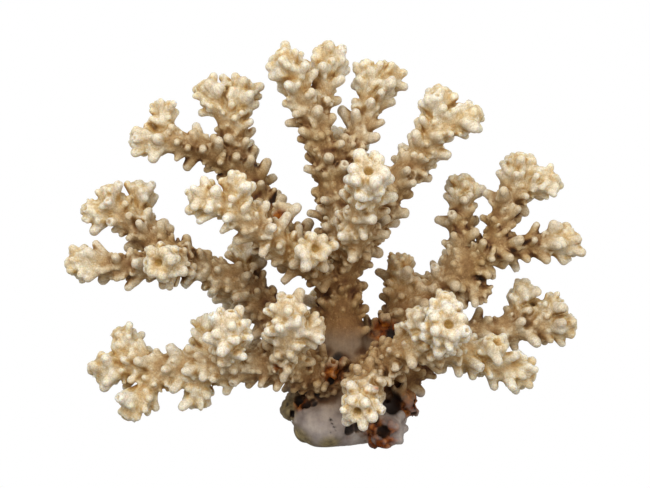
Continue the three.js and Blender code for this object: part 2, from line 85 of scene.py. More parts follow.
LIMBS = (
    Limb("holdfast", bare=99, blunt=True, axis=(
        (-3.5, 2, 9, 12), (-3.6, 3, 18, 11.2), (-2.6, 4, 29, 9.2), (-2.8, 4, 38, 8))),
    Limb("trunk", carrier="holdfast", cut=11, bare=13, blunt=True, axis=(
        (-2.6, 4, 32, 8.4), (-3.5, 4, 45, 6.6), (-4.5, 4, 58, 6.8), (-3.4, 3, 68, 6.6), (-3, 3, 73, 5.6))),
    Limb("crown_left_branch", carrier="trunk", cut=10, axis=(
        (-2.8, 3, 67, 6), (-4.5, 3, 81, 5.4), (-6.2, 4, 93, 4.8), (-9, 4, 104, 4.5), (-13.3, 3, 114, 4.3),
        (-17.8, 1, 124, 4.1), (-22.5, -1.5, 135, 3.9))),
    Limb("crown_left_branch", axis=((-12, 4, 112, 3.9), (-9.6, 8, 124, 3.9), (-8, 10.5, 136.5, 3.9))),
    Limb("crown_right_branch", carrier="crown_left_branch", cut=8, axis=(
        (-6, 5, 96, 4.2), (-1, 8.5, 102, 4.2), (3.2, 12, 109, 4.2), (7, 15, 118, 4.1),
        (14, 18, 129.5, 3.9))),
    Limb("crown_right_branch", axis=((8, 15.5, 119, 3.4), (6, 17.5, 131, 3.2))),
    Limb("front_crown_branch", carrier="trunk", cut=9.5, axis=(
        (-1, 0, 66, 5), (2, -9, 74, 5.2), (4, -15, 82, 4.9), (5.4, -21, 90, 4.6), (5.6, -30, 98, 4.4))),
    Limb("upper_right_branch", carrier="trunk", cut=10, axis=(
        (1, 2.5, 69, 4.8), (9.5, 3, 80, 4.8), (15.6, 3, 91, 4.6), (21.6, 2, 98.6, 4.4), (27, 1, 106, 4.4),
        (30.3, 0, 114, 4.3), (31.2, 0, 121.5, 4.2))),
    Limb("upper_right_branch", axis=((29, -1, 109, 3.5), (36, -3, 113, 3.4), (42, -4, 116, 3.4))),
    Limb("upper_left_branch", carrier="trunk", cut=12, axis=(
        (-6, 5, 60, 5.2), (-17.5, 10, 67.5, 5.2), (-25.5, 12, 75, 4.9), (-31.5, 14, 83.5, 4.6),
        (-36, 14, 91.5, 4.6), (-40, 14, 99, 4.5), (-41.4, 14, 107, 4.2), (-40.6, 13.5, 115, 4),
        (-37.9, 14, 124.5, 3.7))),
    Limb("upper_left_branch", axis=((-41, 14, 110, 3.7), (-46, 12.5, 118, 3.6), (-50.5, 12, 124, 3.6))),
    Limb("left_side_branch", carrier="upper_left_branch", cut=11, axis=(
        (-39, 14, 95, 4.2), (-44, 12, 99.5, 4.2), (-51, 9, 103, 4), (-59, 6, 106, 3.8),
        (-73, 2.5, 107, 3.6))),
    Limb("left_side_branch", axis=((-61, 5, 106, 3.2), (-64.5, 6, 112, 3), (-66, 6, 117.5, 3.2))),
    Limb("inner_left_branch", carrier="trunk", cut=10, axis=(
        (-6, 0, 60, 4.8), (-12, -4, 63, 4.8), (-19.5, -8, 68, 4.9), (-27, -14, 74.5, 4.7),
        (-34, -19, 81, 4.5), (-41, -22, 86, 4), (-50.5, -24, 90, 3.8))),
    Limb("inner_left_branch", axis=((-37.5, -20, 83, 3.4), (-38.5, -22, 90.5, 3.2), (-39, -22, 95.5, 3.3))),
    Limb("inner_left_branch", axis=((-17, -7, 66, 3.8), (-14.6, -14, 69, 3.8), (-12.6, -21, 72, 3.6))),
    Limb("inner_left_branch", bare=9, blunt=True, axis=(
        (-25, -11, 73, 3), (-24, -6.5, 79, 2.8), (-23.4, -5, 82.5, 2.6))),
    Limb("left_stem", carrier="holdfast", cut=13, bare=16, blunt=True, axis=(
        (-4, 5, 26, 7), (-17.5, 10, 34, 6.4), (-26, 12, 41, 5.8), (-32, 12, 49, 5.4), (-38, 10, 55.5, 5.2),
        (-45, 8, 57.5, 4.8))),
    Limb("left_stem", axis=((-36, 12, 54, 3.8), (-37.5, 14, 63, 3.4), (-37.6, 14, 69, 3.2))),
    Limb("left_upper_branch", carrier="left_stem", cut=9, axis=(
        (-43, 8.5, 57, 4.6), (-51, 6, 60.8, 4.5), (-60, 4.5, 65.5, 4.4), (-66, 4.5, 69, 4.1),
        (-72, 5, 73.5, 4), (-77, 6, 77.6, 3.7), (-83, 6, 81, 3.6), (-90.5, 6, 82, 3.5))),
    Limb("left_upper_branch", axis=((-79, 6, 79, 3.3), (-83.6, 6, 84.5, 3.2), (-85, 6, 88, 3.2))),
    Limb("left_upper_branch", axis=(
        (-69, 5, 71, 3.3), (-72.5, 9, 77.5, 3), (-74.2, 10, 83, 3), (-74.6, 10, 88.5, 3.2))),
    Limb("left_upper_branch", bare=7, axis=(
        (-60, 3, 65, 3.8), (-61, -8, 65.5, 3.7), (-64.5, -18.5, 67.2, 3.7))),
    Limb("left_lower_branch", carrier="left_upper_branch", cut=12, axis=(
        (-58, 3, 64, 3.9), (-66.5, -3, 63, 3.9), (-74.3, -5, 64, 3.7), (-82.3, -6, 64.5, 3.6),
        (-94.5, -6, 65, 3.7))),
    Limb("low_left_branch", carrier="holdfast", cut=15, axis=(
        (-1, 1, 22, 6.5), (-13.3, -9, 27.2, 6.2), (-22.7, -14, 31.2, 5.6), (-32, -16, 31.4, 5.1),
        (-42, -16, 30, 4.8), (-52.5, -14, 29.6, 4.5), (-63, -12, 29.3, 4.4), (-73, -10, 29, 4.2),
        (-86, -10, 28.7, 3.9))),
    Limb("low_left_branch", axis=((-73, -10, 30, 3.4), (-77, -7, 35, 3.2), (-79.8, -6, 39, 3.2))),
    Limb("low_left_branch", axis=((-64, -12, 28, 3.7), (-70, -15, 22.5, 3.6), (-75, -18, 16.5, 3.6))),
    Limb("low_left_branch", axis=((-53, -14, 28, 3.2), (-52.7, -13.4, 18.5, 3.1))),
    Limb("low_left_branch", axis=((-48, -13, 31, 3.2), (-50.3, -7, 38, 3), (-51, -4, 43, 2.9))),
    Limb("low_left_front_twig", carrier="low_left_branch", cut=8, axis=(
        (-41.5, -17, 30, 4.4), (-41.5, -24, 37, 4.3), (-41.2, -28, 42, 4.2), (-40.6, -30, 48, 4.2))),
    Limb("low_left_inner_twig", carrier="low_left_branch", cut=10, axis=(
        (-21.3, -15, 30.5, 4.5), (-21.7, -22, 38.5, 4.3), (-21.5, -26, 46, 4.1), (-20.9, -28, 53, 4.1))),
    Limb("low_left_inner_twig", axis=(
        (-21.5, -24.5, 43, 3.3), (-16, -25.5, 44.4, 3.2), (-12, -26, 46, 3.1))),
    Limb("front_low_branch", carrier="holdfast", cut=13, axis=(
        (2, -4, 22, 5.4), (5, -14, 25.5, 5.2), (5, -22, 24, 4.8), (2.6, -35, 20.6, 4.3))),
    Limb("low_right_branch", carrier="holdfast", cut=17, axis=(
        (2, 0, 22, 6.5), (11, -8, 29, 6), (16, -13, 33.6, 5.6), (22, -17, 37.6, 5.2), (30, -18, 38, 5),
        (39.2, -15, 34.8, 4.5), (48, -12, 31, 4.3), (60, -9.5, 27, 4))),
    Limb("low_right_branch", axis=((24, -18, 38, 3), (23.6, -22.5, 44.5, 2.8), (22.9, -24, 49.5, 2.8))),
    Limb("low_right_branch", axis=((45, -13, 32, 3), (49, -17, 38, 2.8))),
    Limb("low_right_front_twig", carrier="low_right_branch", cut=8, axis=(
        (29.5, -18, 37.5, 4.6), (31, -26, 42.5, 4.5), (32, -35, 48, 4.3))),
    Limb("low_right_front_twig", axis=((31, -27, 44, 3.3), (31.5, -27.5, 55, 3.2))),
    Limb("low_right_rear_branch", carrier="holdfast", cut=16.5, axis=(
        (3, 3, 15, 6), (16, 7.5, 20, 5.6), (27, 11, 27.5, 5), (38, 12, 35, 4.6), (48, 12, 37.6, 4.3),
        (57, 12, 38, 4.2), (66, 12, 39.2, 4), (77, 12, 40, 3.9))),
    Limb("low_right_rear_branch", axis=((56.5, 12, 39, 3.3), (60.8, 14, 46, 3), (62.5, 14, 52.5, 3.1))),
    Limb("low_right_rear_branch", axis=((67, 12, 40, 3), (73, 13, 48, 2.8))),
    Limb("right_stem", carrier="holdfast", cut=13.5, bare=17, blunt=True, axis=(
        (2, 6, 25, 7.4), (14.7, 10, 37.4, 6.4), (22, 11, 44.6, 5.9), (30, 11, 50.8, 5.4), (37, 10, 57, 5),
        (41, 9.3, 61, 4.6))),
    Limb("right_stem", bare=4, blunt=True, axis=(
        (18, 11, 42, 5), (18.4, 13, 51, 4.6), (17.9, 13, 61, 4.3))),
    Limb("right_stem", blunt=True, axis=((38, 9, 57, 3.8), (46, 7.5, 52.5, 3.4))),
    Limb("right_inner_branch", carrier="right_stem", cut=9, axis=(
        (38, 10, 59, 4.2), (39.5, 12.5, 69, 4), (39.4, 15, 78, 3.8), (40.8, 15, 90, 3.6))),
    Limb("right_outer_branch", carrier="right_stem", cut=7.5, axis=(
        (41, 9.3, 61, 4.4), (50.7, 8, 67.5, 4.4), (58, 8, 68.6, 4.2), (66, 8, 69.4, 4.2),
        (77, 8, 71, 4.2))),
    Limb("right_upper_branch", carrier="right_outer_branch", cut=8, axis=(
        (51.5, 8.3, 68, 4), (53.2, 10.5, 76, 4), (55.6, 12, 84, 3.9), (57.8, 12, 90, 3.8),
        (60, 12, 98, 3.8))),
    Limb("right_upper_branch", axis=((57, 12, 86, 3.4), (63.5, 10.5, 89.4, 3.3), (70.5, 9, 92, 3.3))),
    Limb("back_middle_branch", carrier="trunk", cut=10, axis=(
        (-4, 5, 50, 4.8), (-3.4, 17, 56, 4.8), (-3, 30, 61, 4.5), (-2.6, 42, 65, 4.2), (-2.6, 52, 69, 4))),
    Limb("back_low_branch", carrier="holdfast", cut=14, axis=(
        (-3, 5, 24, 5.8), (-5, 18, 31, 5.4), (-6.6, 31, 36, 4.9), (-7.6, 43, 40, 4.4),
        (-8.4, 53, 43, 4.2))),
    Limb("back_low_left_branch", carrier="holdfast", cut=19, axis=(
        (-3, 4, 18, 5.8), (-16, 15, 20, 5.4), (-28, 29, 24.5, 5), (-39, 41, 24.5, 4.5),
        (-47, 50, 25.5, 4.2))),
    Limb("back_low_right_branch", carrier="holdfast", cut=17, axis=(
        (0, 5, 14, 5.8), (9, 20, 18, 5.3), (20, 31, 22, 4.8), (31, 40, 24.5, 4.3), (40, 46, 26.5, 4.1))),
    Limb("back_right_branch", carrier="right_stem", cut=11, axis=(
        (23, 11, 45.5, 4.7), (31, 22, 52, 4.5), (38, 33, 56.5, 4.3), (44, 45, 60.5, 4.1))),
    Limb("back_left_branch", carrier="left_stem", cut=10.5, axis=(
        (-27, 12, 41.5, 4.8), (-33, 23, 45.5, 4.6), (-40, 35, 47, 4.3), (-45.5, 46.5, 48.5, 4.1))),
    Limb("back_crown_branch", carrier="crown_left_branch", cut=9.5, axis=(
        (-6, 4, 88, 4.4), (-3, 16, 94.5, 4.3), (-1, 28, 99.5, 4.1), (0, 41, 104, 4))),
    Limb("back_upper_left_branch", carrier="upper_left_branch", cut=9, axis=(
        (-34.5, 14, 88, 4.2), (-37.5, 25, 93.5, 4.1), (-40, 35, 97, 4), (-41.5, 44.5, 99.5, 3.9))),
    Limb("back_upper_right_branch", carrier="upper_right_branch", cut=8, axis=(
        (17.5, 3, 93.5, 4), (22, 14, 98, 3.9), (27.5, 28, 101, 3.8))),
)

FINE_STEP = 0.6  # grid step of the skin
BACK_STEP = 0.7  # and of the limbs that the front ones hide

# The holdfast's lumps: centre, half-axes and how crusted they are.
LUMPS = (
    ((-9, -4, 8.5), (10.5, 10.5, 9.5), 0.0),
    ((12, -4, 7), (7.5, 8.5, 8), 0.75),
    ((0, 5.5, 6), (14, 13, 9.5), 0.3),
    ((-18.4, 2, 12), (3.6, 5, 4.6), 0.2),
    ((18.6, 1, 14), (3.6, 5, 4.4), 0.6),
)
LUMP_FILLET = 2.2
# Smaller round nodules on it.
NODULES = (
    ((-20.6, -1, 12), (3.3, 3.6, 3.3)), ((-18.6, -3.4, 13.6), (1.8, 1.8, 2.1)),
    ((-19.2, -0.5, 17), (2.6, 2.6, 2.0)), ((-15.6, -3, 5.2), (4.4, 4.8, 4.8)),
    ((-16.4, 4.6, 15), (3, 3.4, 3)), ((-17, 9, 8), (4, 4, 4)), ((20.4, -1, 16), (3.2, 3.4, 3.2)),
    ((21.8, -1.4, 11.6), (2.1, 2.2, 2.1)), ((17.6, -3.4, 17.6), (2.2, 2.2, 2.2)),
    ((8, -10.6, 8.6), (2.4, 2.2, 2.4)), ((13.6, -11, 9.4), (2.2, 2, 2.2)),
    ((10.4, -12, 4.6), (2.6, 2, 2.8)), ((4.2, -9.6, 11.2), (3.2, 2.4, 1.8)),
    ((17, 9, 7), (4, 4, 5)), ((6, 17, 6), (5, 4, 5)),
)
NODULE_FILLET = 0.7
# Pits between the lumps and in the forks: centre and radius. Each is carved as a hollow and painted
# near-black inside, as painted shade.
PITS = (
    ((-0.5, -9.8, 7), 1.9), ((2.9, -9.4, 7.4), 1.7), ((5.4, -9.2, 9.2), 1.5), ((11.4, -12.8, 6.8), 2.0),
    ((13.8, -6, 15.2), 4.2), ((22.8, -3, 14.6), 1.3), ((22.8, -2.8, 10.6), 1.2), ((-15.4, -8.2, 15.2), 1.7),
    ((-12.8, -9.6, 16.4), 1.2), ((-17.6, -4.4, 16), 1.7), ((-6.8, -12, 24.6), 1.5), ((-4.2, -7, 32), 2.1),
    ((14.6, 3.6, 38), 1.9), ((-11.4, -8.8, 19.4), 0.9), ((8.6, -11.6, 11), 1.3),
    ((-6.8, -13.6, 11.2), 0.5), ((-6.2, -13.8, 9.9), 0.4), ((-5.5, -14, 8.8), 0.5), ((-5, -14, 7.5), 0.4),
    ((-6.8, -14, 6.6), 0.4), ((-19.7, -4.6, 11.6), 1.2), ((-22.6, -3.6, 14.6), 0.9),
)
# Grainy crust: centre, radius and number of grains.
CRUSTS = (
    ((-6, -12.2, 28), 5, 90), ((12, 3, 41), 6.5, 150), ((10.4, -13, 5.4), 6.5, 110),
    ((20.6, -3, 14), 5.5, 80), ((-16, -7, 14.6), 4.5, 50), ((2.6, -9.4, 9.6), 4, 40),
    ((-22, -18, 30), 7, 80), ((13, -21, 26), 7, 80), ((-20, -3.4, 13), 6.5, 150),
)
# Rust-brown crust, and olive tints: centre and radius of each patch.
STAINS = (
    ((10.2, -13, 5), 9.5), ((20.5, -3, 15), 7.5), ((-16.4, -6.4, 15.6), 5), ((1, -12, 2.6), 4),
    ((-6.2, -12.6, 27.4), 6), ((11.6, 3.2, 40), 6.5), ((16.5, 4, 40), 4.5), ((-24, -8, 81), 4.5),
    ((12, -8, 19), 7), ((2, 18, 6), 9), ((-4.6, -9, 31.4), 4), ((-24.6, -23.4, 32.4), 2.6),
    ((8.4, -33.2, 27), 1.7), ((-53.5, -15.6, 33), 1.4),
)
OLIVES = (((-20.4, -3, 13), 7.5), ((-16, -7, 3.5), 7.5), ((-7, -13, 0), 7), ((4, -12, 12), 5))


def chance(a, b=0.0, c=0.0):
    """The same number between 0 and 1 for the same seeds."""
    wave = math.sin(a * 12.9898 + b * 78.233 + c * 37.719) * 43758.5453
    return wave - math.floor(wave)


def strewn(owner, count, seed):
    """Places strewn in a cube from -0.5 to 0.5."""
    return np.array([[chance(owner, k, axis + seed) - 0.5 for axis in range(3)] for k in range(count)])


def unit(vector):
    return vector / np.linalg.norm(vector)


def lengths(vectors):
    return np.linalg.norm(vectors, axis=1)


def smooth(share):
    """An S-shaped step from 0 at share 0 to 1 at share 1."""
    share = np.clip(share, 0, 1)
    return share * share * (3 - 2 * share)


def nearest(points, spots, radii):
    """How far each point is from the skin of the nearest of some balls."""
    away = np.full(len(points), np.inf)
    for spot, radius in zip(spots, radii):
        away = np.minimum(away, lengths(points - spot) - radius)
    return away


class Path:
    """A limb's axis as a smooth curve through its points, measured from its root."""

    def __init__(self, limb):
        points = np.array([point[:3] for point in limb.axis], float)
        self.radii = np.array([point[3] for point in limb.axis], float)
        self.points = np.vstack((2 * points[0] - points[1], points, 2 * points[-1] - points[-2]))
        self.shares = np.linspace(0, 1, 201)
        steps = np.diff([self.spot(share) for share in self.shares], axis=0)
        self.reaches = np.concatenate(([0], np.cumsum(lengths(steps))))
        self.length = self.reaches[-1]

    def spot(self, share):
        spans = len(self.radii) - 1
        span = min(int(share * spans), spans - 1)
        t = share * spans - span
        a, b, c, d = self.points[span:span + 4]
        leave, arrive = (c - a) / 2, (d - b) / 2
        return (b + leave * t + (3 * (c - b) - 2 * leave - arrive) * t ** 2
                + (2 * (b - c) + leave + arrive) * t ** 3)

    def at(self, reach):
        """Centre, tangent and radius at a reach from the root."""
        share = np.interp(reach, self.reaches, self.shares)
        nudge = 1e-4
        tangent = unit(self.spot(min(share + nudge, 1)) - self.spot(max(share - nudge, 0)))
        radius = np.interp(share * (len(self.radii) - 1), range(len(self.radii)), self.radii)
        return self.spot(share), tangent, radius

    def samples(self, start=0.0, end=math.inf):
        """Reaches from start to end, and the x, y, z and radius there."""
        start, end = max(start, 0), min(end, self.length)
        reaches = np.linspace(start, end, max(3, math.ceil((end - start) / SAMPLE_STEP) + 1))
        return reaches, np.array([(*centre, radius) for centre, _, radius in map(self.at, reaches)])


@dataclass(frozen=True)
class Ring:
    """A limb's section. side and up are square to the tangent."""
    centre: np.ndarray
    tangent: np.ndarray
    side: np.ndarray
    up: np.ndarray
    radius: float
    reach: float

    def outward(self, turn):
        """The way out from the axis at a turn, from 0 to 1, about it."""
        angle = 2 * math.pi * turn
        return math.cos(angle) * self.side + math.sin(angle) * self.up


def rings_of(path):
    count = max(2, round(path.length / RING_STEP))
    side = np.cross(SIDE_CUE, path.at(0)[1])
    rings = []
    for i in range(count + 1):
        reach = path.length * i / count
        centre, tangent, radius = path.at(reach)
        side = unit(side - tangent * (side @ tangent))
        rings.append(Ring(centre, tangent, side, np.cross(tangent, side), radius, reach))
    return rings


def sides_for(root_radius):
    if root_radius >= STEM_RADIUS:
        return STEM_SIDES
    return LIMB_SIDES if root_radius > TWIG_RADIUS else TWIG_SIDES


PATHS = [Path(limb) for limb in LIMBS]
SAMPLES = np.vstack([path.samples()[1] for path in PATHS])
SAMPLE_OWNERS = np.concatenate([[number] * len(path.samples()[0]) for number, path in enumerate(PATHS)])
# How far the pale young skin reaches behind a tip, and the pieces where that is more or less.
YOUTH_REACH = 32
OWN_YOUTH_REACH = {
    "left_upper_branch": 20, "left_lower_branch": 12, "left_side_branch": 19, "upper_left_branch": 28,
    "left_stem": 14, "right_inner_branch": 10, "right_outer_branch": 12, "right_upper_branch": 18,
    "low_right_rear_branch": 12, "upper_right_branch": 42,
}
TIPS = [(path.at(path.length)[0], OWN_YOUTH_REACH.get(limb.piece, YOUTH_REACH))
        for limb, path in zip(LIMBS, PATHS) if not limb.blunt]
# Painted light: the broken end of the right stem's short limb is painted pale as well, as if the light fell
# on it.
PAINTED_LIGHT_END = np.array((18, 10, 64))
TIPS.append((PAINTED_LIGHT_END, 26))
PIECES = tuple(dict.fromkeys(limb.piece for limb in LIMBS))


def limbs_in(piece):
    """The numbers of a piece's own limbs, and then of those whose roots it carries."""
    own = [number for number, limb in enumerate(LIMBS) if limb.piece == piece]
    return own + [number for number, limb in enumerate(LIMBS) if limb.carrier == piece]


def clearance(point, own):
    """How far a point is from the skin of every limb but its own."""
    away = lengths(SAMPLES[:, :3] - point) - SAMPLES[:, 3]
    return away[SAMPLE_OWNERS != own].min()


@dataclass(frozen=True)
class Size:
    """A kind of knob: its length, its radii at foot and tip, and how far the length strays, as a share."""
    length: float
    foot: float
    tip: float
    stray: float

    def grown(self, girth):
        return Size(self.length * girth, self.foot * girth, self.tip * girth, self.stray)

    def shortened(self, share):
        return Size(self.length * share, self.foot, self.tip, self.stray)


LARGE = Size(4.5, 2.3, 1.7, 0.3)
MEDIUM = Size(3.0, 1.85, 1.4, 0.45)
SMALL = Size(1.5, 1.15, 0.95, 0.4)
BEAD = Size(0.8, 0.62, 0.55, 0.5)
LOBE = Size(4.1, 2.05, 1.65, 0.35)
LOW_LOBE = Size(3.6, 1.85, 1.45, 0.4)
FLOWER_LOBE = Size(4.4, 2.3, 2.1, 0.25)
SMALL_SHARE = 0.6
BEADS = 5  # to a facet
CROWN_BEADS = 14
MOUTH_SHARE = 0.09
END_KNOBS = 12
GOLDEN_TURN = (3 - math.sqrt(5)) / 2  # turns by this never line up
LEAN = 0.45  # how far a cup leans to the limb's tip
CROWN_GIRTH = {"front_low_branch": 0.82}  # tips that aren't as wide as their limbs
BRICK = 0.22  # how far cups of facets side by side are out of line, as a share of the rings' distance
WEB = 1.15  # the fillet between the lobes of a tip
# How far a cup's tip keeps from the skin of other limbs, and a tip's lobe.
CLEAR = 0.7
CROWN_CLEAR = 3.4
# Low cups on a fork lie about its middle, this far up the limb in radii of its root.
FORK_RISE = 1.3
FORK_SEEDS = 150  # places that are tried
FORK_SPREAD = 4.5
FORK_SPACING = 3.0
FACING = -0.45  # a tip opens towards the viewer where its tangent's y is below this


def knob_at(number, seed, foot, way, size, hole=0.0, fillet=1.0):
    length = size.length * (1 + size.stray * (2 * chance(number, seed, 1) - 1))
    girth = 0.8 + 0.36 * chance(number, seed, 2)
    return Knob(foot, foot + unit(way) * length, size.foot * girth, size.tip * girth, hole, fillet)


def side_knobs(number):
    """The cups along a limb, each with its reach: large and medium by turns, and small between them."""
    path, limb = PATHS[number], LIMBS[number]
    rings = rings_of(path)
    sides = sides_for(limb.axis[0][3])
    for i, (low, high) in enumerate(zip(rings, rings[1:])):
        for j in range(sides):
            seed = i * sides + j + 0.5
            share = 0.5 + (BRICK if j % 2 else -BRICK) + 0.3 * (chance(number, seed, 4) - 0.5)
            reach = low.reach + share * (high.reach - low.reach)
            turn = (j + 0.5 + (i + 0.5) * RING_TWIST + 0.34 * (chance(number, seed, 3) - 0.5)) / sides
            centre, tangent, radius = path.at(reach)
            out = low.outward(turn)
            way = out + tangent * LEAN * (0.4 + 1.2 * chance(number, seed, 5))
            is_large = (i + j) % 2 == 0
            hole = 0.75 if is_large and chance(number, seed, 6) < MOUTH_SHARE else 0.0
            if reach > limb.bare:
                foot = centre + out * (radius - 0.6)
                size = LARGE if is_large else MEDIUM
                if limb.carrier == "holdfast":
                    size = size.shortened(0.6 + 0.4 * smooth((reach - 16) / 20))
                knob = knob_at(number, seed, foot, way, size, hole)
                yield reach, knob
                heel = foot - tangent * (2.7 if is_large else 1.9) - out * 0.5
                yield reach, Knob(heel, foot * 0.65 + knob.tip * 0.35, 0.7, 1.1)
            for k in range(2 + BEADS):
                reach = low.reach + (high.reach - low.reach) * chance(number, seed, 7 + k)
                if reach > limb.bare and chance(number, seed, 20 + k) < SMALL_SHARE:
                    centre, tangent, radius = path.at(reach)
                    out = low.outward(turn + (0.25 + 0.5 * chance(number, seed, 40 + k)) / sides)
                    foot = centre + out * (radius - 0.2)
                    size = SMALL if k < 2 else BEAD
                    yield reach, knob_at(number, seed + k, foot, out + tangent * LEAN, size)


def crown_knobs(number):
    """The cluster at a limb's tip: the cup on its own axis, a ring of lobes around it and a ring behind."""
    ring = rings_of(PATHS[number])[-1]
    girth = ring.radius / 4 * CROWN_GIRTH.get(LIMBS[number].piece, 1)
    opens = ring.tangent[1] < FACING
    mouth = 2.0 if opens else 1.1
    reach = (1.3 if opens else 2.4 + 1.4 * chance(number, 0, 19)) * girth
    tip = ring.centre + ring.tangent * reach
    yield Knob(ring.centre, tip, 3.3 * girth, 2.4 * girth, mouth * girth, WEB)
    lobes = 6 if opens else 5
    for k in range(lobes):
        out = ring.outward((k + 0.5 * chance(number, k, 20)) / lobes)
        foot = ring.centre + out * (ring.radius * 0.6) - ring.tangent * (2.2 * chance(number, k, 23))
        way = out + ring.tangent * ((1.2 if opens else 0.6) + 1.3 * chance(number, k, 21))
        hole = 0.8 if chance(number, k, 22) < MOUTH_SHARE else 0.0
        size = (FLOWER_LOBE if opens else LOBE).grown(girth)
        yield knob_at(number, 100 + k, foot, way, size, hole, WEB)
    for k in range(lobes):
        out = ring.outward((k + 0.55) / lobes)
        foot = ring.centre + out * (ring.radius * 0.7) - ring.tangent * (3.2 + 1.4 * chance(number, k, 24))
        yield knob_at(number, 120 + k, foot, out + ring.tangent * 0.55, LOW_LOBE.grown(girth), 0.0, WEB)
    for k in range(CROWN_BEADS):
        out = ring.outward(chance(number, k, 25))
        slope = chance(number, k, 26)
        way = out + ring.tangent * slope
        foot = ring.centre - ring.tangent * 2 * (1 - slope) + unit(way) * ring.radius * (0.8 + 0.3 * slope)
        yield knob_at(number, 140 + k, foot, way, BEAD)


def fork_knobs(field, piece, cores, knobs):
    """Low cups settled on the fillets of a piece's forks, where its limbs' own cups would be sunk."""
    taken = [knob.tip for knob in knobs]
    slopes = np.gradient(field.values)
    for number in limbs_in(piece):
        path, cut = PATHS[number], LIMBS[number].cut
        if path.radii[0] >= STEM_RADIUS:
            continue
        centre, tangent, radius = path.at(cut or FORK_RISE * path.radii[0])
        spots = centre + 2 * (radius + FORK_SPREAD) * strewn(number, FORK_SEEDS, 60.3)
        if cut:
            side = 1 if LIMBS[number].piece == piece else -1
            spots = spots[side * ((spots - centre) @ tangent) > 0]
        index, spots, ways = field.settle(spots, slopes)
        for k, spot, out, worn in zip(index, spots, ways, wear_at(spots, cores)):
            near = lengths(np.array(taken) - spot).min()
            if worn < 0.4 and near > FORK_SPACING:
                size = MEDIUM if k % 2 else SMALL
                knob = knob_at(number, 160 + k, spot - out * 0.3, out + tangent * LEAN, size)
                taken.append(knob.tip)
                yield knob


def end_knobs(number):
    """The worn cups over a broken end."""
    ring = rings_of(PATHS[number])[-1]
    for k in range(END_KNOBS):
        out = ring.outward(k * GOLDEN_TURN)
        slope = k / END_KNOBS
        way = out * (0.3 + 0.7 * slope) + ring.tangent * 0.5
        foot = ring.centre + unit(way) * ring.radius * 0.85
        yield knob_at(number, 200 + k, foot, way, SMALL)


def knobs_of(piece):
    """A piece's knobs: those of its own limbs past their cuts, and of its carried limbs short of theirs."""
    knobs = []
    for number in limbs_in(piece):
        limb = LIMBS[number]
        is_own = limb.piece == piece
        grown = [knob for reach, knob in side_knobs(number) if (reach >= limb.cut) == is_own]
        if is_own and not limb.blunt:
            grown += crown_knobs(number)
        elif is_own and piece not in ("holdfast", "trunk"):
            grown += end_knobs(number)
        knobs += [(number, knob) for knob in grown]
    return [knob for number, knob in knobs
            if clearance(knob.tip, number) > (CROWN_CLEAR if knob.fillet == WEB else CLEAR)]


def blend(a, b, fillet):
    """The lesser of two distances, with a rounded fillet where they meet."""
    gap = np.maximum(fillet - np.abs(a - b), 0) / fillet
    return np.minimum(a, b) - gap * gap * fillet / 4


def cone_distance(coords, start, end, start_radius, end_radius):
    """How far the points of a grid are from a rounded cone."""
    along = end - start
    share = sum((c - s) * w for c, s, w in zip(coords, start, along)) / (along @ along)
    share = np.clip(share, 0, 1)
    squares = sum((c - s - share * w) ** 2 for c, s, w in zip(coords, start, along))
    return np.sqrt(squares) - (start_radius + (end_radius - start_radius) * share)


SETTLE_STEPS = 4  # by which a spot moves onto the skin
SETTLED = 0.2  # how far off it may still be


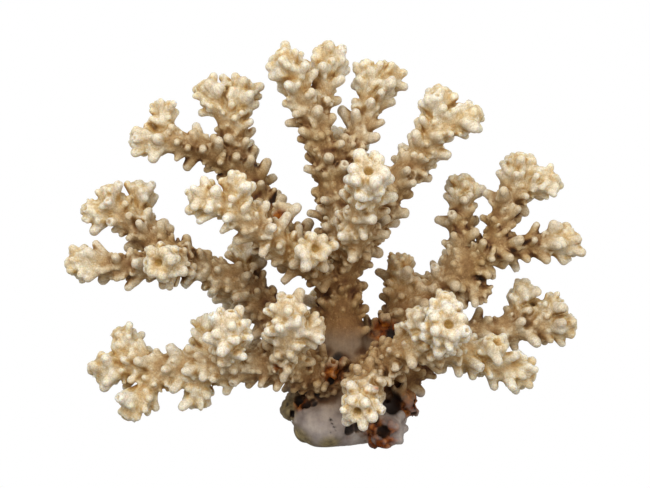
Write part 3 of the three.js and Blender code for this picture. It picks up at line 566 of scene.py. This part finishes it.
class Field:
    """Distances to a growing surface, on a grid of points: below 0 inside it."""

    def __init__(self, low, high, step):
        self.step = step
        self.low = np.floor(low / step) * step
        counts = np.ceil((high - self.low) / step).astype(int) + 1
        self.values = np.full(counts, FAR, np.float32)
        self.axes = [(corner + step * np.arange(count)).astype(np.float32)
                     for corner, count in zip(self.low, counts)]

    def window(self, spots, pad):
        """The part of the grid within pad of a box around spots, and its points' coordinates."""
        limits = np.array(self.values.shape)
        low, high = np.min(spots, axis=0) - pad, np.max(spots, axis=0) + pad
        first = np.clip(np.floor((low - self.low) / self.step).astype(int), 0, limits)
        last = np.clip(np.ceil((high - self.low) / self.step).astype(int) + 1, 0, limits)
        part = tuple(slice(a, b) for a, b in zip(first, np.maximum(first, last)))
        x, y, z = (axis[span] for axis, span in zip(self.axes, part))
        return part, (x[:, None, None], y[None, :, None], z[None, None, :])

    def holds(self, points):
        """Which points lie well within the grid."""
        high = self.low + self.step * (np.array(self.values.shape) - 1)
        return np.all((points > self.low + 3) & (points < high - 3), axis=1)

    def join(self, part, distance, fillet):
        self.values[part] = blend(self.values[part], distance, fillet)

    def grow_core(self, samples):
        """Joins a limb's core, a chain of rounded cones."""
        pad = samples[:, 3].max() + FORK_FILLET + 1
        whole, _ = self.window(samples[:, :3], pad)
        core = np.full(self.values[whole].shape, FAR, np.float32)
        for a, b in zip(samples, samples[1:]):
            part, coords = self.window((a[:3], b[:3]), pad)
            local = tuple(slice(p.start - w.start, p.stop - w.start) for p, w in zip(part, whole))
            core[local] = np.minimum(core[local], cone_distance(coords, a[:3], b[:3], a[3], b[3]))
        self.join(whole, core, FORK_FILLET)

    def grow_knob(self, knob):
        part, coords = self.window((knob.foot, knob.tip), knob.foot_radius + knob.fillet + 0.5)
        if self.values[part].size:
            distance = cone_distance(coords, knob.foot, knob.tip, knob.foot_radius, knob.tip_radius)
            self.join(part, distance, knob.fillet)

    def grow_knobs(self, knobs):
        for knob in tuple(knobs):
            self.grow_knob(knob)

    def grow_lump(self, centre, half, fillet):
        centre, half = np.array(centre), np.array(half)
        part, coords = self.window((centre - half, centre + half), 3)
        scaled = np.sqrt(sum(((c - m) / h) ** 2 for c, m, h in zip(coords, centre, half)))
        self.join(part, (scaled - 1) * half.min(), fillet)

    def carve(self, centre, radius, edge):
        part, coords = self.window((centre - radius, centre + radius), 2)
        if self.values[part].size:
            away = np.sqrt(sum((c - m) ** 2 for c, m in zip(coords, centre))) - radius
            self.values[part] = -blend(-self.values[part], away, edge)

    def buries(self, knob):
        """Whether the place in front of a knob's tip is under the surface."""
        beyond = knob.tip + unit(knob.tip - knob.foot) * (knob.tip_radius + 3)
        return sample(self, self.values, beyond[None])[0] < 0

    def roughen(self, layers, strength):
        """Makes the surface uneven by layers of noise."""
        index = np.nonzero(np.abs(self.values) < 1.6)
        points = np.stack([axis[spots] for axis, spots in zip(self.axes, index)], axis=1).astype(float)
        share = strength(points)
        for seed, (wavelength, height) in enumerate(layers):
            uneven = height * (noise(points, wavelength, seed + 1) - 0.5) * share
            self.values[index] += uneven.astype(np.float32)

    def surface(self):
        """The surface where the distance is 0: a corner in each cell it crosses, and four-sided faces."""
        cells = np.array(self.values.shape) - 1
        spread = np.array([cells[1] * cells[2], cells[2], 1])
        owners, spots, quads = [], [], []
        for axis in range(3):
            start, end = (np.take(self.values, range(a, cells[axis] + a), axis=axis) for a in (0, 1))
            edges = np.argwhere((start < 0) != (end < 0))
            from_value, to_value = start[tuple(edges.T)], end[tuple(edges.T)]
            crossing = edges.astype(float)
            crossing[:, axis] += from_value / (from_value - to_value)
            u, v = np.eye(3, dtype=int)[[(axis + 1) % 3, (axis + 2) % 3]]
            around = np.stack([(edges - back) @ spread for back in (u + v, v, 0 * u, u)], axis=1)
            leaving = from_value < 0
            around[~leaving] = around[~leaving][:, ::-1]
            quads.append(around)
            owners.append(around.ravel())
            spots.append(np.repeat(crossing, 4, axis=0))
        owners, spots, quads = map(np.concatenate, (owners, spots, quads))
        used, index = np.unique(owners, return_inverse=True)
        corners = np.stack([np.bincount(index, spots[:, axis]) for axis in range(3)], axis=1)
        corners /= np.bincount(index)[:, None]
        return self.low + corners * self.step, np.searchsorted(used, quads)

    def normals(self, points, slopes):
        """The way out of the surface near points."""
        ways = np.stack([sample(self, slope, points) for slope in slopes], axis=1)
        return ways / np.maximum(lengths(ways), 1e-6)[:, None]

    def settle(self, spots, slopes):
        """Spots moved onto the surface: which of them come to lie on it, where, and the ways out there."""
        index = np.arange(len(spots))
        for _ in range(SETTLE_STEPS):
            held = self.holds(spots)
            index, spots = index[held], spots[held]
            ways = self.normals(spots, slopes)
            spots = spots - ways * sample(self, self.values, spots)[:, None]
        settled = np.abs(sample(self, self.values, spots)) < SETTLED
        return index[settled], spots[settled], ways[settled]


def sample(field, grid, points):
    """A grid's values at points, blended between the eight grid points around each."""
    place = np.clip((points - field.low) / field.step, 0, np.array(grid.shape) - 1.001)
    base = place.astype(int)
    share = place - base
    total = np.zeros(len(points))
    for corner in np.ndindex(2, 2, 2):
        weight = np.prod(np.where(corner, share, 1 - share), axis=1)
        total += weight * grid[tuple((base + corner).T)]
    return total


def noise(points, wavelength, seed):
    """Smooth noise between 0 and 1."""
    place = points / wavelength + seed * 17.31
    base = np.floor(place)
    share = smooth(place - base)
    total = np.zeros(len(points))
    for corner in np.ndindex(2, 2, 2):
        wave = np.sin((base + corner) @ (12.9898, 78.233, 37.719)) * 43758.5453
        total += np.prod(np.where(corner, share, 1 - share), axis=1) * (wave - np.floor(wave))
    return total


# The skin's unevenness, as wavelengths and heights: where it grows, where it is worn, and on the crust.
GROWN_GRAIN = ((5.5, 0.35), (1.6, 0.24))
WORN_GRAIN = ((7.0, 0.7), (2.6, 0.12))
CRUST_GRAIN = ((3.2, 1.3), (1.4, 0.8))


def cores_of(piece):
    """The cores of a piece: of its own limbs, and of the roots of the limbs that it carries."""
    cores = []
    for number in limbs_in(piece):
        path, cut = PATHS[number], LIMBS[number].cut
        if LIMBS[number].piece == piece:
            reaches, samples = path.samples(cut - LAP)
            beyond = (cut - reaches) / 2
        else:
            reaches, samples = path.samples(0, cut + STUB)
            beyond = (reaches - cut) / STUB
        samples[:, 3] -= LAP_SINK * smooth(beyond)
        cores.append((number, samples))
    return cores


LUMP_BEADS = 34  # on a lump that is wholly crusted


def crust_beads():
    """Small round beads on the crusted lumps."""
    for lump, (centre, half, crusted) in enumerate(LUMPS):
        count = int(LUMP_BEADS * crusted)
        for k in range(count):
            height = 1 - 2 * (k + 0.5) / count
            around = math.sqrt(1 - height * height)
            turn = 2 * math.pi * GOLDEN_TURN * k
            way = np.array([around * math.cos(turn), around * math.sin(turn), height])
            spot = np.array(centre) + way * half * 0.96
            radius = 1.0 + 1.5 * chance(lump, k, 1)
            yield Knob(spot, spot + way * 0.3, radius, radius * 0.9)


def crust_grains(field):
    """Small grains where crust lies on the skin, settled onto it."""
    slopes = np.gradient(field.values)
    for patch, (centre, radius, count) in enumerate(CRUSTS):
        spots = np.array(centre) + 1.8 * radius * strewn(patch, count, 0.3)
        index, spots, _ = field.settle(spots, slopes)
        for k, spot in zip(index, spots):
            if np.linalg.norm(spot - centre) < radius:
                grain = 0.4 + 0.6 * chance(patch, k, 7)
                yield Knob(spot, spot + (0, 0, 0.1), grain, grain, fillet=0.4)


def crusting(points):
    """How crusted the holdfast is at points, from 0 to 1."""
    crusted = np.zeros(len(points))
    for centre, half, share in LUMPS:
        away = lengths((points - centre) / half)
        crusted = np.maximum(crusted, share * smooth(1.9 - away))
    return crusted


WORN = {"holdfast": 1, "trunk": 0.8, "right_stem": 0.6, "left_stem": 0.4}
WORN_TOP = 44  # no skin is worn above this height
FOOT_TOP = 19  # and all of it is below this one and within this reach of the z axis
FOOT_REACH = 32


def wear_at(points, cores):
    """How smooth and grey the skin is at points, from 0 to 1: on the holdfast and the low trunk."""
    worn = np.zeros(len(points))
    whole = np.full(len(points), 1e-9)
    for number, samples in cores:
        away = nearest(points, samples[:, :3], samples[:, 3])
        weight = np.exp(-np.clip(away, 0, 30) / 1.5)
        whole += weight
        worn += weight * WORN.get(LIMBS[number].piece, 0)
    x, y, z = points.T
    foot = smooth((FOOT_TOP - z) / 5) * smooth((FOOT_REACH - np.hypot(x, y)) / 6)
    return np.maximum(worn / whole * smooth((WORN_TOP - z) / 9), foot)


# The oldest skin, and the brownest, lies around the trunk. Its darkening there is partly painted shade, deep
# in the colony's middle.
OLDEST = np.array(((-3, 3, 32), (-4, 4, 50)))
AGE_REACH = 52
AGE_FADE = 40
AGE_HEIGHT = 1.3  # how much faster it fades upwards than sideways


def age_and_shade_at(points):
    """How dark the skin is painted at points, from 0 to 1: its older brown, and painted shade deep in the
    colony's middle.
    """
    height = np.clip(points[:, 2], *OLDEST[:, 2])
    share = (height - OLDEST[0, 2]) / (OLDEST[1, 2] - OLDEST[0, 2])
    off = (points - OLDEST[0] - share[:, None] * (OLDEST[1] - OLDEST[0])) * (1, 1, AGE_HEIGHT)
    return smooth((AGE_REACH - lengths(off)) / AGE_FADE)


# Painted light: the tips in front are painted paler, where the front light falls on them. Where that starts,
# and over what depth it grows.
FRONT_LIGHT_START = -20
FRONT_LIGHT_DEPTH = 14

# Crevices are painted darker by how open the space over the skin is: painted shade, with some of the
# skeleton's own brown.
SHADE_REACH = 2.4  # how far out from the skin the space is felt for, to tell crevices
ROUND_REACH = 1.1  # how far in, to tell small round ends
RIDGE_HEIGHT = 0.26
RIDGE_STRETCH = 0.2


def lay_of(points, cores):
    """Where points lie across and along their nearest limb, drawn out so that grain runs along it."""
    best = np.full(len(points), np.inf)
    lay = points * (1, 1, RIDGE_STRETCH)
    for number, _ in cores:
        rings = rings_of(PATHS[number])
        for low, high in zip(rings, rings[1:]):
            along = high.centre - low.centre
            share = np.clip((points - low.centre) @ along / (along @ along), 0, 1)[:, None]
            off = points - low.centre - share * along
            away = lengths(off) - low.radius
            reach = (low.reach + share[:, 0] * (high.reach - low.reach)) * RIDGE_STRETCH
            near = away < best
            best[near] = away[near]
            across = np.sum(off * (low.side + share * (high.side - low.side)), axis=1)
            upward = np.sum(off * (low.up + share * (high.up - low.up)), axis=1)
            lay[near] = np.stack((across, upward, reach), axis=1)[near]
    return lay


def marks_at(points, spots, reach):
    """How strongly round spots mark points, from 0 to 1."""
    strength = np.zeros(len(points))
    for centre, radius in spots:
        away = lengths(points - centre)
        strength = np.maximum(strength, smooth((radius * reach - away) / (radius * 0.6)))
    return strength


HOLDFAST_BOX = ((-30, -20, -3), (30, 24, 30))  # its lumps lie in this
# The balls that carve a cup's mouth: how deep their centres lie and how wide they are, in the mouth's radii.
MOUTH_BALLS = ((-0.3, 1.1), (0.6, 0.7), (1.2, 0.5))
MOUTH_EDGE = 0.9
PIT_EDGE = 0.8
WIDE_MOUTH = 0.8
CUP_HEIGHT = 4.0


def bare_field(piece, cores):
    """A grid around a piece, with its cores and lumps and no cups yet."""
    points = np.vstack([samples for _, samples in cores])
    pad = points[:, 3].max() + 7
    low, high = points[:, :3].min(axis=0) - pad, points[:, :3].max(axis=0) + pad
    if piece == "holdfast":
        low, high = np.minimum(low, HOLDFAST_BOX[0]), np.maximum(high, HOLDFAST_BOX[1])
    field = Field(low, high, BACK_STEP if piece.startswith("back_") else FINE_STEP)
    for _, samples in cores:
        field.grow_core(samples)
    if piece == "holdfast":
        for centre, half, _ in LUMPS:
            field.grow_lump(centre, half, LUMP_FILLET)
    return field


def grow_cups(field, piece, cores):
    """Grows all that stands on a piece's core, and returns the knobs with open mouths."""
    knobs = knobs_of(piece)
    if piece == "holdfast":
        for centre, half in NODULES:
            field.grow_lump(centre, half, NODULE_FILLET)
        field.grow_knobs(crust_beads())
    field.grow_knobs(knobs)
    field.grow_knobs(fork_knobs(field, piece, cores, knobs))
    field.grow_knobs(crust_grains(field))
    mouths = [knob for knob in knobs if knob.hole and not field.buries(knob)]
    for knob in mouths:
        way = unit(knob.tip - knob.foot)
        for depth, width in MOUTH_BALLS:
            spot = knob.tip + way * (knob.tip_radius - knob.hole * depth)
            field.carve(spot, knob.hole * width, MOUTH_EDGE)
    return mouths


def weather(field, piece, cores):
    """Makes a piece's skin uneven, and gives the holdfast its crust, its pits and its flat cut."""
    if piece in WORN:
        field.roughen(WORN_GRAIN, lambda points: wear_at(points, cores))
        field.roughen(GROWN_GRAIN, lambda points: 1 - wear_at(points, cores))
    else:
        field.roughen(GROWN_GRAIN, lambda points: 1)
    if piece == "holdfast":
        field.roughen(CRUST_GRAIN, crusting)
        for centre, radius in PITS:
            field.carve(np.array(centre), radius, PIT_EDGE)
        field.values = np.maximum(field.values, -field.axes[2][None, None, :])


def grow(piece):
    """A piece's surface as corners and faces, with what its colours follow at each corner."""
    cores = cores_of(piece)
    field = bare_field(piece, cores)
    core = field.values.copy()
    mouths = grow_cups(field, piece, cores)
    weather(field, piece, cores)
    corners, faces = field.surface()
    normals = field.normals(corners, np.gradient(field.values))
    # The tones follow the rise above the core: browner valleys, partly as painted shade, and paler cup ends.
    rise = np.clip(sample(field, core, corners) / CUP_HEIGHT, 0, 1)
    youth = np.max([1 - smooth((lengths(corners - tip) - 3) / reach) for tip, reach in TIPS], axis=0)
    # Painted light: the tips in front are paler.
    painted_front_light = youth * smooth((FRONT_LIGHT_START - corners[:, 1]) / FRONT_LIGHT_DEPTH)
    wear = wear_at(corners, cores)
    stain = marks_at(corners, STAINS, 1.0) * (0.6 + 0.4 * smooth((noise(corners, 2.2, 5) - 0.3) / 0.3))
    wide = [(knob.tip + unit(knob.tip - knob.foot) * (knob.tip_radius - 1.1 * knob.hole), knob.hole)
            for knob in mouths if knob.hole > WIDE_MOUTH]
    # Openness paints the crevices darker: painted shade, with some of the skeleton's own brown.
    openness = np.clip(sample(field, field.values, corners + normals * SHADE_REACH) / SHADE_REACH, 0, 1)
    depth = sample(field, field.values, corners - normals * ROUND_REACH) / ROUND_REACH
    roundness = np.clip((depth + 1) / 0.6, 0, 1)
    lay = lay_of(corners, cores)
    ridges = noise(lay, 1.5, 3) - 0.5
    corners += normals * (RIDGE_HEIGHT * ridges * (1 - 0.95 * wear))[:, None]
    if piece == "holdfast":
        corners[:, 2] = np.maximum(corners[:, 2], 0)
    layers = {
        "growth": (rise, youth, wear),
        # The pits' mark paints them near-black: painted shade.
        "marks": (stain, marks_at(corners, wide, 1.1), marks_at(corners, PITS, 1.5)),
        "form": (openness, roundness, marks_at(corners, OLIVES, 1.0)),
        "lay": lay.T / METRE,
        # Brown and painted shade about the trunk, and the front tips' painted light.
        "age_and_shade": (age_and_shade_at(corners), painted_front_light, 0 * painted_front_light),
    }
    return corners, faces, layers


def make_skin(piece):
    corners, faces, layers = grow(piece)
    mesh = bpy.data.meshes.new(piece + "_skin")
    mesh.from_pydata(corners / METRE, [], faces)
    mesh.polygons.foreach_set("use_smooth", np.ones(len(faces), bool))
    for name, values in layers.items():
        layer = mesh.attributes.new(name, "FLOAT_COLOR", "POINT")
        layer.data.foreach_set("color", np.column_stack((*values, np.ones(len(corners)))).ravel())
    skin = bpy.data.objects.new(piece + "_skin", mesh)
    bpy.context.collection.objects.link(skin)
    return skin


def linear(colour):
    """A colour such as "c9b391" as linear red, green, blue and alpha."""
    parts = [int(colour[k:k + 2], 16) / 255 for k in (0, 2, 4)]
    return (*(c / 12.92 if c <= 0.04045 else ((c + 0.055) / 1.055) ** 2.4 for c in parts), 1)


class Shader:
    """The nodes of a material or a world, made and linked in one call each."""

    def __init__(self, owner):
        owner.use_nodes = True
        self.tree = owner.node_tree

    def node(self, kind, sources=None, **settings):
        made = self.tree.nodes.new("ShaderNode" + kind)
        for key, value in settings.items():
            setattr(made, key, value)
        for key, source in (sources or {}).items():
            self.link(source, made.inputs[key])
        return made

    def link(self, source, target):
        if isinstance(source, (int, float, tuple)):
            target.default_value = source
        else:
            self.tree.links.new(source, target)

    def attribute(self, name):
        colour = self.node("Attribute", attribute_name=name).outputs["Color"]
        return tuple(self.node("SeparateColor", {0: colour}).outputs)

    def noise(self, scale, detail, roughness=0.5, lay=None):
        lay = lay or self.node("TexCoord").outputs["Object"]
        sources = {"Vector": lay, "Scale": scale, "Detail": detail, "Roughness": roughness}
        return self.node("TexNoise", sources).outputs["Fac"]

    def math(self, operation, a, b):
        return self.node("Math", {0: a, 1: b}, operation=operation, use_clamp=operation == "ADD").outputs[0]

    def vary(self, value, wave, amount):
        """A value moved up and down by noise."""
        return self.math("ADD", value, self.math("MULTIPLY", self.math("SUBTRACT", wave, 0.5), amount))

    def beads(self, scale):
        """Round grains: 1 in their middles and 0 between them."""
        sources = {"Vector": self.node("TexCoord").outputs["Object"], "Scale": scale}
        return self.remap(self.node("TexVoronoi", sources).outputs["Distance"], 0, 1, 0.5, 0.1)

    def remap(self, value, to_low, to_high, low=0, high=1):
        limits = {"From Min": low, "From Max": high, "To Min": to_low, "To Max": to_high}
        return self.node("MapRange", {"Value": value, **limits}).outputs[0]

    def ramp(self, value, stops):
        made = self.node("ValToRGB", {0: value})
        elements = made.color_ramp.elements
        while len(elements) < len(stops):
            elements.new(0.5)
        for element, (place, colour) in zip(elements, stops):
            element.position = place
            element.color = linear(colour)
        return made.outputs[0]

    def mix(self, share, a, b, blend_type="MIX"):
        sources = {0: share, 6: a, 7: b}
        return self.node("Mix", sources, data_type="RGBA", blend_type=blend_type).outputs[2]


# Tones by rise, from the valleys between cups to their ends: partly the skeleton's own browner valleys and
# paler ends, partly painted shade in the valleys.
OLD_TONES = ((0, "7e5a2f"), (0.25, "a17f4e"), (0.55, "bca275"), (1, "d7cab0"))
YOUNG_TONES = ((0, "c4a473"), (0.22, "d5c098"), (0.5, "e0d6bd"), (1, "e7e3d8"))
WORN_TONES = ((0.25, "756a67"), (0.5, "9c938f"), (0.8, "c2b9b1"))
# Older brown around the trunk, with painted shade deep in the colony's middle.
AGE_AND_SHADE_TINT = "d6c2a4"
MOUTH_TINT = "b38f4e"
# Painted shade: near-black inside the pits.
PIT_SHADE_TINT = "1e130c"
# Painted light: paler tones on the tips in front.
FRONT_LIT_TONES = ((0, "d8c8a6"), (0.4, "f0e9d8"), (1, "f2f0ea"))
OLIVE_TONES = ((0.3, "5c5038"), (0.7, "a09168"))
RUST_TONES = ((0.3, "1e0d05"), (0.48, "6e3208"), (0.72, "b46a22"))
GRAIN_TONES = ((0.25, "d0cac0"), (0.6, "ffffff"))
STREAK_TONES = ((0.3, "c8b8a4"), (0.6, "ffffff"))
# Darker in crevices: painted shade, with some of the skeleton's own brown.
CREVICE_BROWN_AND_SHADE_TONES = ((0, "4c2e12"), (0.3, "a57f52"), (0.75, "ffffff"))
YOUNG_CREVICE_BROWN_AND_SHADE_TONES = ((0, "cca872"), (0.3, "eedcb3"), (0.75, "ffffff"))


# How deep the bumps are and how far light goes into the skeleton.
BUMP_DEPTH = 0.6 / METRE
GLOW_DEPTH = 4 / METRE
GLOW = (1.0, 0.75, 0.45)


def coral_material(name):
    material = bpy.data.materials.new(name)
    shader = Shader(material)
    rise, youth, wear = shader.attribute("growth")
    stain, hollow, pit_shade = shader.attribute("marks")
    openness, roundness, olive = shader.attribute("form")
    lay = shader.node("Attribute", attribute_name="lay").outputs["Vector"]
    blotch, mottle, grain = shader.noise(75, 4), shader.noise(420, 3), shader.noise(1900, 2, 0.7)
    streaks, beads = shader.noise(1100, 2, 0.6, lay), shader.beads(1000)
    beads = shader.math("MULTIPLY", beads, shader.remap(shader.noise(260, 2), 0.15, 1, 0.45, 0.6))
    # Ends and small round ends rise to paler tones and valleys sink to browner ones, partly as painted
    # shade.
    rise = shader.math("ADD", shader.math("MULTIPLY", rise, 0.75), shader.math("MULTIPLY", roundness, 0.4))
    rise = shader.math("ADD", shader.vary(rise, mottle, 0.4), shader.math("MULTIPLY", beads, 0.22))
    old, young = shader.ramp(rise, OLD_TONES), shader.ramp(rise, YOUNG_TONES)
    age_and_shade, painted_front_light, _ = shader.attribute("age_and_shade")
    crevices = [shader.ramp(openness, tones) for tones in (CREVICE_BROWN_AND_SHADE_TONES, YOUNG_CREVICE_BROWN_AND_SHADE_TONES)]
    tints = (
        (wear, shader.ramp(shader.noise(160, 4), WORN_TONES), "MIX"),
        (olive, shader.ramp(mottle, OLIVE_TONES), "MIX"),
        # Painted light on the tips in front.
        (shader.math("MULTIPLY", painted_front_light, 0.55), shader.ramp(rise, FRONT_LIT_TONES), "MIX"),
        # Older brown and painted shade about the trunk.
        (age_and_shade, linear(AGE_AND_SHADE_TINT), "MULTIPLY"),
        (shader.remap(wear, 0.5, 0.1), shader.ramp(streaks, STREAK_TONES), "MULTIPLY"),
        # Painted shade in the crevices, with some own brown.
        (0.95, shader.mix(youth, *crevices), "MULTIPLY"),
        (stain, shader.ramp(mottle, RUST_TONES), "MIX"),
        (hollow, linear(MOUTH_TINT), "MIX"),
        # Painted shade in the pits.
        (pit_shade, linear(PIT_SHADE_TINT), "MIX"),
        (shader.remap(wear, 0.9, 0.2), shader.ramp(grain, GRAIN_TONES), "MULTIPLY"),
    )
    colour = shader.mix(shader.vary(youth, blotch, 0.7), old, young)
    for share, tint, blend_type in tints:
        colour = shader.mix(share, colour, tint, blend_type)
    texture = shader.math("MULTIPLY", shader.math("ADD", streaks, grain), 0.5)
    bump = shader.node("Bump", {
        "Strength": shader.remap(wear, 0.5, 0.12), "Distance": BUMP_DEPTH,
        "Height": shader.math("ADD", texture, shader.math("MULTIPLY", beads, 0.6))})
    sources = {
        "Base Color": colour,
        "Roughness": shader.math("ADD", shader.math("MULTIPLY", rise, -0.3), 0.82),
        "Normal": bump.outputs[0],
        "Subsurface Weight": shader.remap(youth, 0.15, 0.75),
        "Subsurface Radius": GLOW,
        "Subsurface Scale": GLOW_DEPTH,
        "Specular IOR Level": shader.remap(stain, 0.35, 0.12),
    }
    for key, source in sources.items():
        shader.link(source, shader.tree.nodes["Principled BSDF"].inputs[key])
    return material


MATERIALS = {name: coral_material(name) for name in ("limb_skeleton", "holdfast_skeleton")}
for piece in PIECES:
    slot = "holdfast_skeleton" if piece == "holdfast" else "limb_skeleton"
    skin = make_skin(piece)
    skin.data.materials.append(MATERIALS[slot])
    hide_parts(piece)
    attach(skin, "root")

# The camera stands in front and a little above.
TARGET = Vector((-8.75, 0, 71)) / METRE
CAMERA_AWAY = 632 / METRE
CAMERA_RAISED = math.radians(8)
camera = bpy.data.objects.new("camera", bpy.data.cameras.new("camera"))
camera.data.lens = 100
camera.data.clip_start = 0.05
backward = Vector((0, -math.cos(CAMERA_RAISED), math.sin(CAMERA_RAISED)))
camera.location = TARGET + backward * CAMERA_AWAY
camera.rotation_euler = backward.to_track_quat("Z", "Y").to_euler()
bpy.context.collection.objects.link(camera)
bpy.context.scene.camera = camera


def add_light(name, way, away, size, power):
    light = bpy.data.objects.new(name, bpy.data.lights.new(name, "AREA"))
    light.data.shape = "DISK"
    light.data.size = size
    light.data.energy = power
    light.location = TARGET + Vector(way).normalized() * away
    light.rotation_euler = Vector(way).to_track_quat("Z", "Y").to_euler()
    bpy.context.collection.objects.link(light)


add_light("key_light", (-0.3, -1.0, 0.8), 0.9, 0.7, 6)
add_light("fill_light", (0.7, -1.0, 0.2), 1.0, 0.7, 3)

# A white room: plain white to the eye, and brighter from above than from below for the light on the coral.
WHITE = (1, 1, 1, 1)
ROOM_TONES = ((0, "8f8a84"), (1, "ffffff"))
bpy.context.scene.world = bpy.data.worlds.new("white_room")
room = Shader(bpy.context.scene.world)
backdrop = room.tree.nodes["Background"]
room.link(WHITE, backdrop.inputs["Color"])
height = room.node("SeparateXYZ", {0: room.node("TexCoord").outputs["Generated"]}).outputs["Z"]
shade = room.ramp(room.remap(height, 0, 1, -1, 1), ROOM_TONES)
ambient = room.node("Background", {"Color": shade, "Strength": 0.85})
seen = room.node("LightPath").outputs["Is Camera Ray"]
choice = room.node("MixShader", {0: seen, 1: ambient.outputs[0], 2: backdrop.outputs[0]})
room.link(choice.outputs[0], room.tree.nodes["World Output"].inputs[0])

bpy.context.scene.view_settings.view_transform = "Standard"
